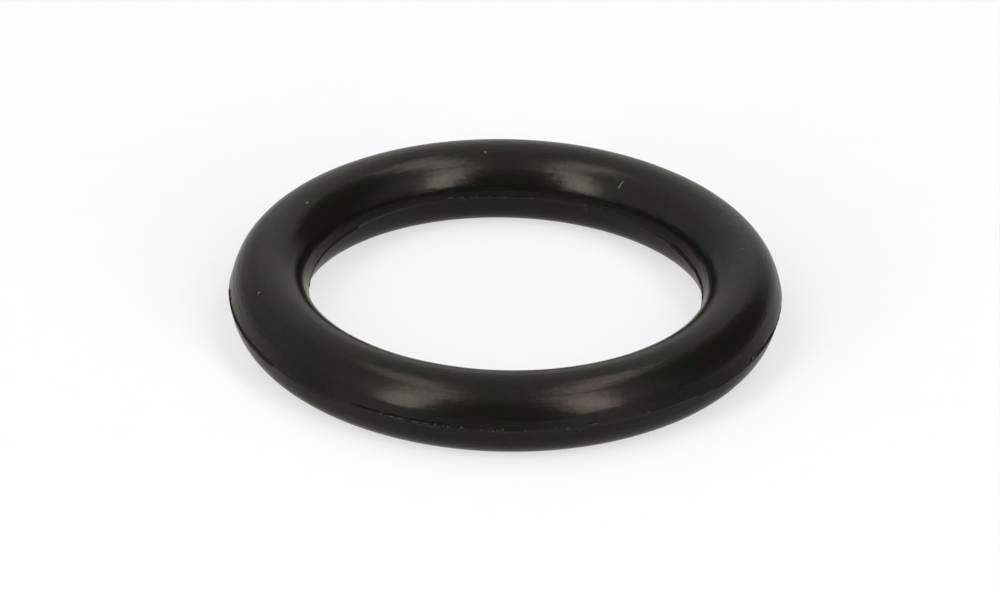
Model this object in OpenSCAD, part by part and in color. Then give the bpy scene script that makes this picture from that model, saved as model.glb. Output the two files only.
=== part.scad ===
// Rubber o-ring, moulded in one piece in a mould of two halves.
// It lies flat: its axis is Z, and the plane where the mould halves met is Z = 0.
// All sizes are in millimetres.

/* [Ring] */
// Inner diameter of the ring, across the hole and without the flash
inner_d = 15; // [8:0.5:60]
// Diameter of the cord: the mean of its width and its height
cord_d = 3; // [1.5:0.1:6]

/* [Parting line] */
// Height of the flash that is left round the middle of the cord
flash_h = 0.12; // [0.04:0.01:0.24]
// How far the trimmed flash stands out of the cord on the outside of the ring
outer_flash = 0.05; // [0.04:0.01:0.2]
// How far the trimmed flash stands out of the cord on the inside of the ring
inner_flash = 0.05; // [0.04:0.01:0.2]
// How far the upper half is shifted along +X from the lower half
half_shift = 0.04; // [0:0.01:0.06]

/* [Hidden] */

// The round that each mould half was cut to. The flash held the halves apart by its own
// height, so the cord came out that much taller than it is wide.
groove_d = cord_d - flash_h / 2;
// Radius of the circle that the middle of the cord follows
cord_path_r = inner_d / 2 + groove_d / 2;
// Radius of the trimmed flash, inside and outside
bore_r = inner_d / 2 - inner_flash;
rim_r = cord_path_r + groove_d / 2 + outer_flash;

$fn = 180;

// Section of one mould half: half of the groove's round, standing on the flash
module half_section() {
    translate([cord_path_r, flash_h / 2])
        intersection() {
            circle(d = groove_d);
            translate([-groove_d / 2, 0]) square([groove_d, groove_d / 2]);
        }
}

// Section of the flash, from its inner cut edge to its outer one
module flash_section() {
    translate([bore_r, -flash_h / 2]) square([rim_r - bore_r, flash_h]);
}

// One half of the ring, above the flash
module half_ring() {
    rotate_extrude() half_section();
}

module o_ring() {
    color([0.15, 0.145, 0.14])
        union() {
            rotate_extrude() flash_section();
            translate([half_shift / 2, 0, 0]) half_ring();
            translate([-half_shift / 2, 0, 0]) mirror([0, 0, 1]) half_ring();
        }
}

o_ring();
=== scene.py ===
import math

import bmesh
import bpy
import numpy as np
from mathutils import Matrix, Vector


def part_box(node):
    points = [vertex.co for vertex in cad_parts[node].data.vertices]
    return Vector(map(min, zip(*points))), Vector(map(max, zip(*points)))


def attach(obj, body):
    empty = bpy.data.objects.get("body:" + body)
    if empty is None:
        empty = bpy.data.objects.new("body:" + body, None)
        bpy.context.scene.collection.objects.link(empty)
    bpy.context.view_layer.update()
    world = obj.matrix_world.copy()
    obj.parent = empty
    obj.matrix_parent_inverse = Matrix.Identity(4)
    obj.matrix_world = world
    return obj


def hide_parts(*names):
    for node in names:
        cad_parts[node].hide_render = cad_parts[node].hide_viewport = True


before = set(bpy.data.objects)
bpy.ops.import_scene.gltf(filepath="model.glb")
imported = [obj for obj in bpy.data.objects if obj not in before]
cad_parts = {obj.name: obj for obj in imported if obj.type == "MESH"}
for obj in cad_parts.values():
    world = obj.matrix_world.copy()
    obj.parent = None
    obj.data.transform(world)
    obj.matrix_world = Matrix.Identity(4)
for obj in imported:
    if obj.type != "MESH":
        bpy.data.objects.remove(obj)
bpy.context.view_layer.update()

# The ring.
# It is moulded in one piece from black rubber. The two halves of the mould stood a little apart
# and off centre, which left a thin flash and a fine step round the outside and the inside. The
# flash was trimmed by hand: flush with the cord in most places, torn in some.
mm = 0.001
ring_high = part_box("o_ring")[1]
inner_r = 7.5 * mm
groove_r = 1.47 * mm
cord_path_r = inner_r + groove_r
flash_h = 0.12 * mm
outer_stand = ring_high.x - (inner_r + 2 * groove_r)
inner_stand = 0.05 * mm
half_shift = 0.02 * mm

# The mesh has its columns round the ring. Each half of the cord has rows at these heights in
# millimetres above either of its feet, and more between them over the crest.
columns = 1368
cut_rows = 5
crest_rows = 16
upper_feet = [0, 0.025, 0.05, 0.075, 0.1, 0.15, 0.22, 0.31, 0.42]
lower_feet = [0, 0.07, 0.14, 0.22, 0.31, 0.42]
around = np.linspace(0, math.tau, columns, endpoint=False)
maker = np.random.default_rng(15)

# The tables below give shares at angles round the ring. The angles are in degrees from +X,
# counter-clockwise from above, so -90 is the front.

# How far the worn edge of the mould let the foot of the cord flare out.
outer_flare = {-76: 1.0, -72: 0.25, -69: 0.25, -65: 1.0, -22: 1.0, -18: 0.25, -6: 0.25, -1: 1.0}
outer_flare_depth = 0.042 * mm
inner_flare_depth = 0.026 * mm
flare_h = 0.38 * mm

# How far the flash stands out after the trimming, as a share of the CAD's flash.
outer_trim = {-179: 0.3, -178: 1.1, -170: 1.35, -150: 1.3, -146: 0.9, -141: 0.3, -124: 0.3,
              -121: 1.1, -104: 1.1, -99: 1.0, -76: 1.0, -72: 0.2, -31: 0.2, -28: 1.0, -20: 1.1,
              -5: 1.15, -2: 0.9, 25: 0.8, 60: 0.3, 95: 0.9, 140: 0.5}
inner_trim = {-180: 0.9, -140: 0.4, -100: 0.9, -60: 0.2, -25: 0.7, 0: 0.9, 30: 0.9, 32: 0.1,
              80: 0.1, 82: 0.8, 112: 0.8, 114: 0.1, 138: 0.1, 140: 1.3, 178: 1.3}

# The cut edge is a little lower than the flash, and worn back a little at its corners.
cut_height = 0.95
corner_loss = 0.25

# How deep the cord itself was torn just above the flash, less so right at its foot.
outer_pit = {-124: 0.0, -122: 0.5, -118: 0.8, -108: 1.0, -104: 0.8, -99: 0.0, -29: 0.0,
             -28: 0.8, -26: 0.2, -25: 0.8, -21: 0.5, -20: 0.0}
pit_depth = 0.07 * mm
pit_h = 0.062 * mm
pit_foot = 0.4

# Where torn rubber shows: on the flash, under it, and on the inside also above it. The last two
# values are the shares from which a face is torn.
outer_torn = {-179: 0, -178: 1, -146: 1, -145: 0, -48: 0, -45: 1, -3: 1, -2: 0}
outer_under_torn = {-162: 0, -160: 1, -147: 1, -145: 0, -42: 0, -40: 1, -24: 1, -22: 0}
inner_torn = {6: 0, 7: 1, 32: 1, 33: 0, 139: 0, 140: 1, 179: 1}
inner_over_torn = {6: 0, 7: 1, 15: 1, 17: 0, 139: 0, 140: 1, 179: 1}
inner_under_torn = {16: 0, 18: 1, 32: 1, 34: 0}
torn_from = 0.5
pit_torn_from = 0.3


def along_ring(shares):
    """A value at every column, from the values at a few angles in degrees."""
    angles = np.radians(list(shares))
    return np.interp(around, angles, list(shares.values()), period=math.tau)


def uneven(cells, amount):
    """A random line round the ring that joins up with itself."""
    knots = np.linspace(0, math.tau, cells, endpoint=False)
    return np.interp(around, knots, maker.uniform(-amount, amount, cells), period=math.tau)


pit_top = pit_h * (1 + uneven(cells=420, amount=0.42))

# Slow waves of the moulded skin: how many go round the ring, and how many round the cord.
wave_counts = ((5, 1), (9, 2), (14, 1), (19, 3), (27, 2), (38, 4), (55, 3))
wave_h = 0.0035 * mm


def waves(across):
    """The height of the waves at every column, for rows at these angles round the cord."""
    height = np.zeros((len(across), columns))
    for round_ring, round_cord in wave_counts:
        start = maker.uniform(0, math.tau)
        height += np.cos(round_ring * around[None] + round_cord * across[:, None] + start) / round_ring
    return height * wave_h


def wall(side, feet):
    """Rows of one half of the cord, from its outer foot over the crest to its inner foot.

    side is 1 for the upper half and -1 for the lower one. Only the upper half has pits.
    """
    foot = [math.asin(height * mm / groove_r) for height in feet]
    crest = np.linspace(foot[-1], math.pi - foot[-1], crest_rows + 2)[1:-1]
    across = np.concatenate([foot, crest, [math.pi - angle for angle in reversed(foot)]])
    round_r = groove_r + waves(side * across)
    height = round_r * np.sin(across)[:, None]
    outwards = np.sign(np.cos(across))[:, None]
    flare = np.where(outwards > 0, along_ring(outer_flare) * outer_flare_depth, inner_flare_depth)
    lean = flare * np.clip(1 - height / flare_h, 0, 1) ** 2
    from_path = round_r * np.cos(across)[:, None] + outwards * lean
    if side > 0:
        ragged = 1 + uneven(cells=500, amount=0.45) + uneven(cells=140, amount=0.3)
        pit = along_ring(outer_pit) * pit_depth * ragged
        pit_shape = np.clip(1 - height / pit_top, 0, 1) ** 0.5
        pit_shape[0] *= pit_foot
        from_path -= np.where(outwards > 0, pit * pit_shape, 0)
    from_axis = cord_path_r + from_path
    x = from_axis * np.cos(around) + side * half_shift
    y = from_axis * np.sin(around)
    return np.stack([x, y, side * (flash_h / 2 + height)], 2)


def flash(foot_r, outwards, stand, trim, lean):
    """Rows of the edge of the flash, from its upper corner down to its lower one.

    Where it was trimmed flush, it runs straight from the upper half of the cord to the lower one.
    """
    left = along_ring(trim) * (1 + uneven(cells=90, amount=0.2) + uneven(cells=400, amount=0.2))
    height = flash_h * (cut_height + uneven(cells=120, amount=0.05) + uneven(cells=500, amount=0.05))
    rows = []
    for row in range(cut_rows):
        down = row / (cut_rows - 1)
        belly = 1 - corner_loss * abs(2 * down - 1) ** 3
        torn = stand * left * (belly + uneven(cells=720, amount=0.12))
        flush = lean + outwards * half_shift * (1 - 2 * down) * np.cos(around)
        from_axis = foot_r + outwards * np.maximum(torn, flush)
        x, y = from_axis * np.cos(around), from_axis * np.sin(around)
        rows.append(np.stack([x, y, height * (0.5 - down)], 1))
    return np.array(rows)


outer_lean = along_ring(outer_flare) * outer_flare_depth
outer_flash = flash(inner_r + 2 * groove_r, 1, outer_stand, outer_trim, outer_lean)
inner_flash = flash(inner_r, -1, inner_stand, inner_trim, inner_flare_depth)
upper_wall, lower_wall = wall(1, upper_feet), wall(-1, lower_feet)
rows = np.concatenate([upper_wall, inner_flash, lower_wall[::-1], outer_flash[::-1]])
row_count = len(rows)

corner = np.arange(row_count * columns).reshape(row_count, columns)
next_row = np.roll(corner, -1, 0)
faces = np.stack([corner, next_row, np.roll(next_row, -1, 1), np.roll(corner, -1, 1)], 2)
ring_mesh = bpy.data.meshes.new("moulded_ring")
ring_mesh.from_pydata(rows.reshape(-1, 3).tolist(), [], faces.reshape(-1, 4).tolist())
ring_mesh.polygons.foreach_set("use_smooth", [True] * len(ring_mesh.polygons))
crease_angle = math.radians(38)
ring_mesh.set_sharp_from_angle(angle=crease_angle)
ring = bpy.data.objects.new("moulded_ring", ring_mesh)
bpy.context.collection.objects.link(ring)

# Each face lies between its row and the next. The last face of a wall is the ledge that joins it
# to the flash, and the last face of the outer flash joins it to the first row.
inner_over = len(upper_wall) - 1
inner_under = inner_over + cut_rows
outer_under = row_count - cut_rows - 2
face_material = np.zeros((row_count, columns), int)
face_material[inner_over] = along_ring(inner_over_torn) > torn_from
face_material[inner_over + 1:inner_under] = along_ring(inner_torn) > torn_from
face_material[inner_under:inner_under + 2] = along_ring(inner_under_torn) > torn_from
face_material[outer_under:outer_under + 2] = along_ring(outer_under_torn) > torn_from
face_material[outer_under + 2:] = along_ring(outer_torn) > torn_from
torn_out = along_ring(outer_pit) > pit_torn_from
face_material[-1] |= torn_out
for row, height in enumerate(upper_feet):
    face_material[row] = torn_out & (pit_top > height * mm)
ring_mesh.polygons.foreach_set("material_index", face_material.ravel())


def node(tree, kind, **settings):
    """A new node, with its settings made and its named inputs filled."""
    made = tree.nodes.new(kind)
    for name, value in settings.items():
        if name in made.inputs:
            made.inputs[name].default_value = value
        else:
            setattr(made, name, value)
    return made


def joined(tree, kind, values, result, **settings):
    """One output of a new node, whose inputs are filled in order with outputs or plain values."""
    made = node(tree, kind, **settings)
    for place, value in zip(made.inputs, values):
        if isinstance(value, bpy.types.NodeSocket):
            tree.links.new(value, place)
        else:
            place.default_value = value
    return made.outputs[result]


def number(tree, operation, *values):
    """A number worked out from others."""
    return joined(tree, "ShaderNodeMath", values, "Value", operation=operation)


def vector(tree, operation, *values, result="Vector"):
    """A vector worked out from others, or a number where result is Value."""
    return joined(tree, "ShaderNodeVectorMath", values, result, operation=operation)


def ramp(tree, value, start, end, low, high, **settings):
    """A number that runs from low to high while the value runs from start to end."""
    limits = {"From Min": start, "From Max": end, "To Min": low, "To Max": high}
    made = node(tree, "ShaderNodeMapRange", **limits, **settings)
    tree.links.new(value, made.inputs["Value"])
    return made.outputs["Result"]


def soft_ramp(tree, value, start, end, low, high):
    """The same, easing in and out."""
    return ramp(tree, value, start, end, low, high, interpolation_type="SMOOTHSTEP")


def blend(tree, share, start, end, **settings):
    """A number or a colour between two others."""
    made = node(tree, "ShaderNodeMix", **settings)
    for name, value in (("Factor", share), ("A", start), ("B", end)):
        if isinstance(value, bpy.types.NodeSocket):
            tree.links.new(value, made.inputs[name])
        else:
            made.inputs[name].default_value = value
    return made.outputs["Result"]


def tones(tree, share, dark, light):
    """A colour between dark and light."""
    return blend(tree, share, (*dark, 1), (*light, 1), data_type="RGBA")


def place_on_object(tree):
    """The place in the object's own space."""
    return node(tree, "ShaderNodeTexCoord").outputs["Object"]


def coordinates(tree, place):
    """The x, y and z of a place."""
    parts = node(tree, "ShaderNodeSeparateXYZ")
    tree.links.new(place, parts.inputs["Vector"])
    return parts.outputs


def noise(tree, size, detail=3.0, roughness=0.55):
    """Noise in the object's own space, with blotches about as wide as size."""
    made = node(tree, "ShaderNodeTexNoise", Scale=1 / size, Detail=detail, Roughness=roughness)
    tree.links.new(place_on_object(tree), made.inputs["Vector"])
    return made.outputs["Fac"]


def streaks(tree, length, width):
    """Noise drawn out along the ring: streaks about as long and as wide as given."""
    place = place_on_object(tree)
    flat = vector(tree, "MULTIPLY", place, (1, 1, 0))
    along = vector(tree, "MULTIPLY", vector(tree, "NORMALIZE", flat), [cord_path_r / length] * 3)
    spot = vector(tree, "MULTIPLY_ADD", place, (0, 0, 1 / width), along)
    across = number(tree, "MULTIPLY", vector(tree, "LENGTH", flat, result="Value"), 1 / width)
    made = node(tree, "ShaderNodeTexNoise", noise_dimensions="4D", Scale=1.0, Detail=2.0, Roughness=0.5)
    tree.links.new(spot, made.inputs["Vector"])
    tree.links.new(across, made.inputs["W"])
    return made.outputs["Fac"]


# Noise hardly ever leaves these values.
noise_low, noise_high = 0.32, 0.68


def spread(tree, value, low, high):
    """A noise value, drawn out to run from low to high."""
    return ramp(tree, value, noise_low, noise_high, low, high)


def bumps(tree, height, depth, strength=1.0, base=None):
    """The direction of a skin with bumps of this depth, on top of the bumps of base."""
    made = node(tree, "ShaderNodeBump", Strength=strength, Distance=depth)
    tree.links.new(height, made.inputs["Height"])
    if base:
        tree.links.new(base, made.inputs["Normal"])
    return made.outputs["Normal"]


def new_material(name):
    """A material with its node tree and its main shader."""
    made = bpy.data.materials.new(name)
    made.use_nodes = True
    return made, made.node_tree, made.node_tree.nodes["Principled BSDF"]


# How much of the wax is left at each height in millimetres: in front and at the back, then at the
# two sides of the ring, then in the patches. These shares paint shade and sheen into the ring's
# reflections: the film is thin beside the flash, thinner on the lower half and at the sides, which
# paints darker reflections there, less thin in the patches, which paints a glow of reflected light
# under the front highlights, and a little thinner in front than at the back.
painted_sheen_left = {-0.9: (0.62, 0.41, 0.62), -0.45: (0.62, 0.44, 0.62), -0.1: (0.67, 0.39, 0.67),
            -0.06: (0.80, 0.55, 0.9), 0.05: (0.80, 0.55, 0.9), 0.09: (0.50, 0.36, 0.87),
            0.36: (0.51, 0.38, 0.87), 0.55: (0.92, 0.50, 0.95), 0.8: (1.0, 0.9, 1.0)}
painted_sheen_side_from, painted_sheen_side_to = 4.0 * mm, 8.3 * mm
painted_sheen_in_front, painted_sheen_at_back = 0.95, 1.07
painted_sheen_ends = 9 * mm

# The patches of painted sheen: the middle of each, where it starts to thin out and where it ends,
# all in millimetres, and how full it is.
painted_sheen_patches = [((-4.9, -9.3, 0.3), 0.7, 2.9, 1.0), ((3.6, -9.85, 0.3), 0.7, 2.9, 1.0),
               ((-9.6, -3.9, 0.3), 1.4, 6.0, 0.4)]


def painted_sheen_share(tree, place, x, z):
    """How much of the wax is left at a place, as a painted sheen that darkens or lightens its
    reflections.
    """
    by_height = node(tree, "ShaderNodeValToRGB")
    tree.links.new(ramp(tree, z, -mm, mm, 0, 1), by_height.inputs["Fac"])
    stops = by_height.color_ramp.elements
    for height, left in painted_sheen_left.items():
        stops.new((height + 1) / 2).color = (*left, 1)
    stops.remove(stops[0])
    stops.remove(stops[-1])
    shares = node(tree, "ShaderNodeSeparateColor")
    tree.links.new(by_height.outputs["Color"], shares.inputs["Color"])
    in_middle, at_sides, in_patches = shares.outputs
    to_side = soft_ramp(tree, number(tree, "ABSOLUTE", x), painted_sheen_side_from, painted_sheen_side_to, 0, 1)
    film = blend(tree, to_side, in_middle, at_sides)
    for middle, inside, outside, fullness in painted_sheen_patches:
        middle_place = [part * mm for part in middle]
        away = vector(tree, "DISTANCE", place, middle_place, result="Value")
        near = soft_ramp(tree, away, inside * mm, outside * mm, fullness, 0)
        film = blend(tree, near, film, in_patches)
    return film


def moulded_rubber():
    """Black rubber from a smooth mould. Its satin shine lies in the thin film of wax on its skin.

    Rub marks run along the ring, and the skin between them is a little uneven and finely grained.
    """
    made, tree, shader = new_material("moulded_rubber")

    # The rubber itself, in blotches of greenish and reddish black. Without its wax it is dull.
    green_black, red_black = (0.0034, 0.0064, 0.0033), (0.0072, 0.0042, 0.0044)
    blotch = 1.7 * mm
    bloom = spread(tree, noise(tree, size=blotch, detail=4.0), low=0, high=1)
    tree.links.new(tones(tree, bloom, green_black, red_black), shader.inputs["Base Color"])
    roughness = spread(tree, noise(tree, size=0.9 * mm), low=0.20, high=0.26)
    tree.links.new(roughness, shader.inputs["Roughness"])
    shader.inputs["Specular IOR Level"].default_value = 0.01

    # The film of wax, blotched and finely mottled, and thinned by place as painted shade and sheen in
    # its reflections.
    place = place_on_object(tree)
    x, y, z = coordinates(tree, place)
    blotches = spread(tree, noise(tree, size=blotch), low=0.53, high=0.57)
    mottle = spread(tree, noise(tree, size=0.13 * mm, detail=4.0), low=0.88, high=1.12)
    painted_sheen_to_back = ramp(tree, y, -painted_sheen_ends, painted_sheen_ends, painted_sheen_in_front, painted_sheen_at_back)
    coat_with_painted_sheen = number(tree, "MULTIPLY", number(tree, "MULTIPLY", blotches, mottle), painted_sheen_to_back)
    coat_with_painted_sheen = number(tree, "MULTIPLY", coat_with_painted_sheen, painted_sheen_share(tree, place, x, z))
    tree.links.new(coat_with_painted_sheen, shader.inputs["Coat Weight"])
    shader.inputs["Coat IOR"].default_value = 1.5
    shader.inputs["Coat Roughness"].default_value = 0.22

    # The skin, from its longest marks to its finest grain.
    rub_marks = bumps(tree, streaks(tree, length=1.1 * mm, width=0.22 * mm), depth=0.014 * mm)
    skin = bumps(tree, noise(tree, size=0.36 * mm, detail=2.0), depth=0.0045 * mm, base=rub_marks)
    grain = bumps(tree, noise(tree, size=0.07 * mm), depth=0.004 * mm, strength=0.12, base=skin)
    tree.links.new(grain, shader.inputs["Normal"])
    tree.links.new(grain, shader.inputs["Coat Normal"])
    return made


def torn_rubber():
    """The same rubber where it was torn: rough and dull, with no wax on it."""
    made, tree, shader = new_material("torn_rubber")
    dark_brown, brown = (0.0066, 0.0056, 0.0044), (0.0130, 0.0114, 0.0094)
    crumble = spread(tree, noise(tree, size=0.09 * mm, detail=5.0), low=0, high=1)
    tree.links.new(tones(tree, crumble, dark_brown, brown), shader.inputs["Base Color"])
    roughness = spread(tree, noise(tree, size=0.2 * mm), low=0.6, high=0.85)
    tree.links.new(roughness, shader.inputs["Roughness"])
    shader.inputs["IOR"].default_value = 1.5
    shader.inputs["Specular IOR Level"].default_value = 0.08
    tear = bumps(tree, noise(tree, size=0.05 * mm, detail=5.0), depth=0.01 * mm, strength=0.6)
    tree.links.new(tear, shader.inputs["Normal"])
    return made


ring_mesh.materials.append(moulded_rubber())
ring_mesh.materials.append(torn_rubber())
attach(ring, "root")
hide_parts("o_ring")

# The dust.
# Specks of pale dust lie on the ring. They rest on the moulded skin, and are sunk into it by a
# little of their height. Each is given by its turn round the ring and its turn over the cord, in
# degrees, and by its length, width and height in millimetres.
dust_spots = [(96.2, 111.3, 0.12, 0.12, 0.08), (152.7, 103.5, 0.18, 0.10, 0.08),
              (-163.0, 59.5, 0.11, 0.13, 0.08), (-27.2, 1, 0.06, 0.12, 0.05),
              (6.3, 88.2, 0.05, 0.05, 0.04)]
dust_raised = 0.3


def skin_at(turn, over):
    """A place on the skin, with the directions out of it and along the ring.

    turn goes round the ring from +X, over goes round the cord from its outside over the top.
    """
    turn, over = math.radians(turn), math.radians(over)
    outwards = Vector((math.cos(turn), math.sin(turn), 0))
    out = outwards * math.cos(over) + Vector((0, 0, math.sin(over)))
    half = 1 if math.sin(over) > 0 else -1
    lean = outer_flare_depth * max(0, 1 - abs(groove_r * math.sin(over)) / flare_h) ** 2
    place = outwards * cord_path_r + out * groove_r
    place += Vector((half * half_shift, 0, half * flash_h / 2))
    place += outwards * math.copysign(lean, math.cos(over))
    return place, out, Vector((-math.sin(turn), math.cos(turn), 0))


def grains(name, spots, raised):
    """Small uneven lumps: where each lies, then its length, width and height in millimetres.

    raised is how far the middle of each lies above its place, as a share of its height.
    """
    points, lumps = [], []
    for place, out, along, size in spots:
        lump = bmesh.new()
        bmesh.ops.create_icosphere(lump, subdivisions=2, radius=0.5 * mm)
        first = len(points)
        lift = size[2] * raised * mm
        for point in lump.verts:
            uneven_r = maker.uniform(0.75, 1.2)
            length, width, height = (part * reach * uneven_r for part, reach in zip(point.co, size))
            points.append(place + along * length + out.cross(along) * width + out * (height + lift))
        lumps += [[first + point.index for point in face.verts] for face in lump.faces]
        lump.free()
    mesh = bpy.data.meshes.new(name)
    mesh.from_pydata(points, [], lumps)
    made = bpy.data.objects.new(name, mesh)
    bpy.context.collection.objects.link(made)
    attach(made, "root")
    return made


def dry_dust(name, dark, light):
    """Dry, matte and pale, with darker flecks in it."""
    made, tree, shader = new_material(name)
    flecks = spread(tree, noise(tree, size=0.05 * mm, detail=4.0), low=0, high=1)
    tree.links.new(tones(tree, flecks, dark, light), shader.inputs["Base Color"])
    shader.inputs["Roughness"].default_value = 0.95
    shader.inputs["Specular IOR Level"].default_value = 0.1
    fluff = bumps(tree, noise(tree, size=0.02 * mm), depth=0.01 * mm, strength=0.5)
    tree.links.new(fluff, shader.inputs["Normal"])
    return made


dust_places = [(*skin_at(turn, over), size) for turn, over, *size in dust_spots]
dust = grains("dust_specks", dust_places, dust_raised)
dust_dark, dust_light = (0.085, 0.084, 0.079), (0.155, 0.152, 0.143)
dust.data.materials.append(dry_dust("pale_dust", dust_dark, dust_light))

# The lint.
# A flat pale fibre, about a third of a millimetre long, clings to the back of the ring. It is
# bent to the skin under it and tapers at both ends.
lint_start, lint_end = (57.1, 142.5), (56.5, 128)
lint_bend = 0.12
lint_thick = 0.075 * mm
lint_bluntness = 0.2
lint_flatness = 0.6
lint_rise = 0.35
lint_rings, lint_sides = 15, 8
lint_dark, lint_light = (0.075, 0.074, 0.070), (0.135, 0.133, 0.128)
lint_points, lint_faces = [], []
for ring_number in range(lint_rings):
    share = ring_number / (lint_rings - 1)
    turn, over = (start + (end - start) * share for start, end in zip(lint_start, lint_end))
    place, out, along = skin_at(turn + lint_bend * math.sin(share * math.pi), over)
    taper = max(lint_bluntness, 1 - abs(2 * share - 1) ** 4) ** 0.5
    thick = lint_thick * taper * maker.uniform(0.8, 1.2)
    for side_number in range(lint_sides):
        angle = math.tau * side_number / lint_sides
        reach = along * math.cos(angle) + out * (lint_flatness * math.sin(angle) + lint_rise)
        lint_points.append(place + reach * thick / 2 * maker.uniform(0.9, 1.1))
for ring_number in range(lint_rings - 1):
    for side_number in range(lint_sides):
        here = ring_number * lint_sides + side_number
        beside = ring_number * lint_sides + (side_number + 1) % lint_sides
        lint_faces.append((here, beside, beside + lint_sides, here + lint_sides))
lint_faces.append(tuple(reversed(range(lint_sides))))
lint_faces.append(tuple(range(len(lint_points) - lint_sides, len(lint_points))))
lint_mesh = bpy.data.meshes.new("lint_fibre")
lint_mesh.from_pydata(lint_points, [], lint_faces)
lint_mesh.polygons.foreach_set("use_smooth", [True] * len(lint_mesh.polygons))
lint_mesh.materials.append(dry_dust("pale_lint", lint_dark, lint_light))
lint = bpy.data.objects.new("lint_fibre", lint_mesh)
bpy.context.collection.objects.link(lint)
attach(lint, "root")

# The crumbs.
# Where the flash was torn off, crumbs of rubber still hang on its edge, and a few lie loose on
# the skin. Their broken surface is rough, so they look lighter than the skin.

# Crumbs on the edge of the flash: degrees round the ring and millimetres above mid-height, then
# length, width and height in millimetres.
outer_crumbs = [(-123.2, 0.05, 0.08, 0.06, 0.04), (-118.3, 0.0, 0.14, 0.06, 0.05),
                (-112.3, -0.02, 0.15, 0.07, 0.05), (-103.9, 0.05, 0.10, 0.12, 0.08),
                (-102.1, 0.05, 0.07, 0.09, 0.05), (-101.2, 0.03, 0.09, 0.09, 0.05),
                (-98.3, 0.06, 0.14, 0.08, 0.05), (-94.2, 0.02, 0.08, 0.08, 0.05),
                (-92.8, 0.02, 0.08, 0.08, 0.05), (-91.9, 0.0, 0.12, 0.10, 0.06),
                (-91.1, 0.02, 0.09, 0.08, 0.05), (-89.9, 0.07, 0.09, 0.12, 0.07),
                (-85.3, 0.02, 0.13, 0.07, 0.05), (-79.1, 0.1, 0.06, 0.13, 0.06),
                (-76.6, 0.03, 0.14, 0.09, 0.06), (-74.0, -0.1, 0.08, 0.10, 0.06),
                (-71.2, 0.08, 0.3, 0.05, 0.04), (-58.8, 0.08, 0.2, 0.05, 0.03)]
inner_crumbs = [(99.2, 0.03, 0.16, 0.05, 0.04), (95.2, 0.01, 0.18, 0.035, 0.04),
                (90.8, 0.0, 0.26, 0.04, 0.04), (83.0, 0.01, 0.26, 0.035, 0.04)]

# Crumbs on the skin, given in the way of the dust.
loose_crumbs = [(66.3, 179.9, 0.09, 0.10, 0.03), (65.9, 182.2, 0.08, 0.10, 0.03),
                (5.3, 87.4, 0.09, 0.08, 0.04), (107.2, 178.8, 0.26, 0.05, 0.03)]
crumbs_raised = -0.1
outer_edge_r = inner_r + 2 * groove_r + outer_stand
inner_edge_r = inner_r - inner_stand


def flash_at(turn, rise, edge_r, side):
    """A place on the edge of the flash, with the directions out of it and along the ring.

    side is 1 on the outside of the ring and -1 on the inside.
    """
    turn = math.radians(turn)
    outwards = Vector((math.cos(turn), math.sin(turn), 0))
    place = outwards * edge_r + Vector((0, 0, rise * mm))
    return place, outwards * side, Vector((-outwards.y, outwards.x, 0))


crumb_places = [(*flash_at(turn, rise, outer_edge_r, 1), size) for turn, rise, *size in outer_crumbs]
crumb_places += [(*skin_at(turn, over), size) for turn, over, *size in loose_crumbs]
crumb_places += [(*flash_at(turn, rise, inner_edge_r, -1), size) for turn, rise, *size in inner_crumbs]
crumbs = grains("flash_crumbs", crumb_places, crumbs_raised)
broken_dark, broken_light = (0.028, 0.028, 0.025), (0.062, 0.060, 0.055)
crumbs.data.materials.append(dry_dust("broken_rubber", broken_dark, broken_light))

# The floor.
# A plain sheet of white paper that the ring lies on. To the camera it glows as white as the
# photograph's ground, and it keeps the ring's own soft shadow.
floor_reach = 3.0
floor_z = float(rows[:, :, 2].min())
floor_corners = [(-floor_reach, -floor_reach, floor_z), (floor_reach, -floor_reach, floor_z),
                 (floor_reach, floor_reach, floor_z), (-floor_reach, floor_reach, floor_z)]
floor_mesh = bpy.data.meshes.new("floor")
floor_mesh.from_pydata(floor_corners, [], [(0, 1, 2, 3)])
floor = bpy.data.objects.new("floor", floor_mesh)
bpy.context.collection.objects.link(floor)

# Painted reflection: in the ring's reflections the paper glows a warmer white, painted darker behind the
# ring.
painted_reflection_near, painted_reflection_far = (1.0, 0.95, 0.87), (0.42, 0.41, 0.39)
darkest_from_middle = 15 * mm
glow_share = 0.6


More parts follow.
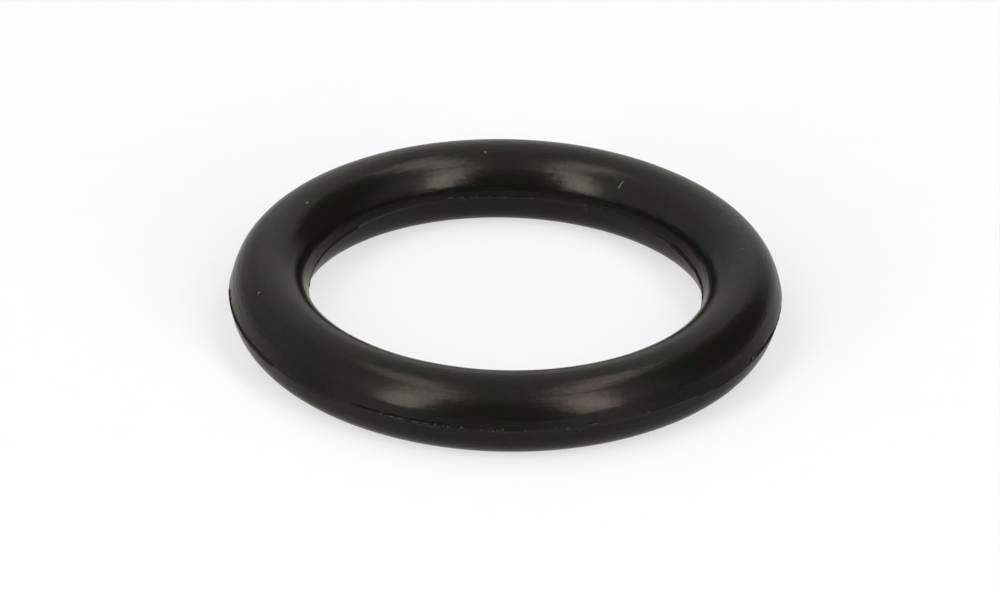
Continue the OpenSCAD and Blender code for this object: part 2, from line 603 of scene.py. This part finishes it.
def pale_floor():
    """Matte white paper with the faintest fibre in its colour, and a share of glow."""
    made, tree, shader = new_material("pale_floor")
    shade_white, paper_white = (0.77, 0.83, 0.915), (0.78, 0.84, 0.925)
    fibre = spread(tree, noise(tree, size=1.5 * mm), low=0, high=1)
    tree.links.new(tones(tree, fibre, shade_white, paper_white), shader.inputs["Base Color"])
    shader.inputs["Roughness"].default_value = 1.0
    shader.inputs["Diffuse Roughness"].default_value = 1.0
    shader.inputs["Specular IOR Level"].default_value = 0.0
    ray = node(tree, "ShaderNodeLightPath").outputs
    x, y, z = coordinates(tree, place_on_object(tree))
    # The painted reflection: warmer near the ring, darker behind it.
    far = soft_ramp(tree, y, 0, darkest_from_middle, 0, 1)
    painted_mirror_colour = tones(tree, far, painted_reflection_near, painted_reflection_far)
    glow = node(tree, "ShaderNodeEmission", Strength=1.0)
    white = (1.0, 1.0, 1.0, 1)
    glow_colour = blend(tree, ray["Is Camera Ray"], painted_mirror_colour, white, data_type="RGBA")
    tree.links.new(glow_colour, glow.inputs["Color"])
    seen = number(tree, "MAXIMUM", ray["Is Camera Ray"], ray["Is Glossy Ray"])
    seen = number(tree, "MAXIMUM", seen, ray["Is Transmission Ray"])
    both = node(tree, "ShaderNodeMixShader")
    tree.links.new(number(tree, "MULTIPLY", seen, glow_share), both.inputs["Fac"])
    tree.links.new(shader.outputs["BSDF"], both.inputs[1])
    tree.links.new(glow.outputs["Emission"], both.inputs[2])
    tree.links.new(both.outputs["Shader"], tree.nodes["Material Output"].inputs["Surface"])
    return made


floor_mesh.materials.append(pale_floor())

# The light.
# A soft tent round the ring, with a tall softbox on either side of the camera and a long strip
# overhead on either side. The camera's own side of the tent is open and dark.
lamp_distance = 0.6
warm = (1.0, 0.855, 0.755)
softbox_width, softbox_low_h, softbox_high_h = 0.175, 0.35, 0.21
softbox_high_rise = 50

# Name, azimuth, rise of the lower part, lean of the upper part, and brightness of both.
softboxes = [("left", -138.9, 23.0, 0.8, 5.4, 3.95), ("right", 142.5, 25.2, -2.5, 5.55, 3.9)]

# Name, x, where it starts and ends along y, and brightness.
strip_z, strip_width = 0.6, 0.13
strips = [("left_near", -0.207, -0.22, 0.08, 3.35), ("left_far", -0.195, 0.08, 0.19, 2.4),
          ("right_near", 0.203, -0.2, 0.12, 3.8), ("right_far", 0.19, 0.12, 0.27, 2.9)]


def towards(azimuth, elevation):
    """A direction. Azimuth 0 is away from the camera, 90 is to the right; both in degrees."""
    turn, rise = math.radians(azimuth), math.radians(elevation)
    return Vector((math.sin(turn) * math.cos(rise), math.cos(turn) * math.cos(rise), math.sin(rise)))


def lamp(name, place, width, height, brightness, upright=Vector((0, 0, 1))):
    """A soft rectangular lamp that faces the ring, with its height along upright."""
    data = bpy.data.lights.new(name, "AREA")
    data.shape = "RECTANGLE"
    data.size = width
    data.size_y = height
    data.energy = brightness * math.pi * width * height
    data.color = warm
    made = bpy.data.objects.new(name, data)
    bpy.context.collection.objects.link(made)
    back = place.normalized()
    side = upright.cross(back).normalized()
    facing = Matrix((side, back.cross(side), back)).transposed().to_4x4()
    made.matrix_world = Matrix.Translation(place) @ facing
    made.visible_camera = False
    return made


for name, azimuth, rise, lean, low, high in softboxes:
    low_place = towards(azimuth, rise) * lamp_distance
    lamp("softbox_low_" + name, low_place, softbox_width, softbox_low_h, low)
    high_place = towards(azimuth + lean, softbox_high_rise) * lamp_distance
    lamp("softbox_high_" + name, high_place, softbox_width, softbox_high_h, high)
for name, x, start, end, brightness in strips:
    middle = Vector((x, (start + end) / 2, strip_z))
    lamp("strip_" + name, middle, strip_width, end - start, brightness, Vector((0, 1, 0)))

# The walls of the tent, and its darker and lighter places: direction, half width and half width
# of the soft edge in degrees, and how bright it is there as a share.
tent_level = 0.525
tent_colour = (1.0, 0.99, 0.92, 1)
tent_shades = [(towards(180, 20), 30, 9, 0.2), (towards(66, 28), 30, 8, 0.18),
               (towards(0, 90), 32, 6, 0.86), (towards(0, 46), 26, 12, 1.45),
               (towards(5, 4), 17, 8, 1.5), (towards(-95, 40), 38, 15, 1.22),
               (towards(-54, 0), 15, 9, 0.8), (towards(46, 0), 12, 8, 0.72),
               (towards(108, 6), 12, 8, 0.72)]
tent = bpy.data.worlds.new("tent")
bpy.context.scene.world = tent
tent.use_nodes = True
tent_tree = tent.node_tree
direction = node(tent_tree, "ShaderNodeTexCoord").outputs["Generated"]
light = node(tent_tree, "ShaderNodeValue").outputs[0]
light.default_value = tent_level
for middle, half_width, soft, share in tent_shades:
    facing = vector(tent_tree, "DOT_PRODUCT", direction, middle, result="Value")
    outside = math.cos(math.radians(half_width + soft))
    inside = math.cos(math.radians(half_width - soft))
    light = number(tent_tree, "MULTIPLY", light, soft_ramp(tent_tree, facing, outside, inside, 1, share))
tent_tree.links.new(light, tent_tree.nodes["Background"].inputs["Strength"])
tent_tree.nodes["Background"].inputs["Color"].default_value = tent_colour

# The camera.
# It looks down on the ring from the front with a long lens, rolled a little, as in the photograph.
# Its aim puts the ring's middle where it is in the photograph.
photo_width = 1000
photo_middle = (500.0, 295.5)
ring_in_photo = (505.4, 292.3)
pixels_per_metre = 26340
camera_elevation = math.radians(29.5)
camera_roll = math.radians(1.24)
camera_distance = 0.393
camera_data = bpy.data.cameras.new("camera")
camera_data.sensor_width = 36
camera_data.lens = pixels_per_metre * camera_distance / photo_width * camera_data.sensor_width
camera_data.clip_start = 0.01
camera_data.clip_end = 10
camera = bpy.data.objects.new("camera", camera_data)
bpy.context.collection.objects.link(camera)
back = Vector((0, -math.cos(camera_elevation), math.sin(camera_elevation)))
level_side = Vector((1, 0, 0))
side = Matrix.Rotation(camera_roll, 3, back) @ level_side
up = back.cross(side)
right_by, down_by = (there - here for there, here in zip(photo_middle, ring_in_photo))
aim = (side * right_by - up * down_by) / pixels_per_metre
facing = Matrix((side, up, back)).transposed().to_4x4()
camera.matrix_world = Matrix.Translation(aim + back * camera_distance) @ facing
bpy.context.scene.camera = camera

bpy.context.scene.view_settings.view_transform = "Standard"
